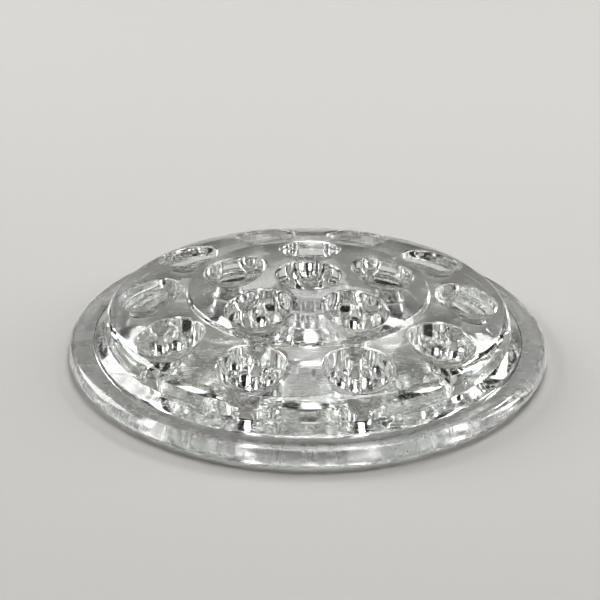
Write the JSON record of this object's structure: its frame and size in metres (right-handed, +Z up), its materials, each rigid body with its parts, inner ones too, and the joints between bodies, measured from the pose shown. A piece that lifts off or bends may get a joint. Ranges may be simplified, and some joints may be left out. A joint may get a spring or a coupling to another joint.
{
  "type": "flower frog",
  "caption": "Domed clear-glass flower holder with a low raised centre, rounded stem holes in rings and a wide flat flange with a rounded rim.",
  "frame": {"origin": "on the plane the flange rests on, on the axis of the block", "axes": "+Z up along the block's axis; one hole of the inner ring lies towards +Y and the front, -Y, falls between two holes of the outer ring"},
  "size_m": [0.14, 0.14, 0.0238],
  "materials": {
    "clear_glass": "fire-polished pressed glass, lightly worn"
  },
  "bodies": {
    "root": {"glass_block": "clear_glass"}
  },
  "joints": []
}
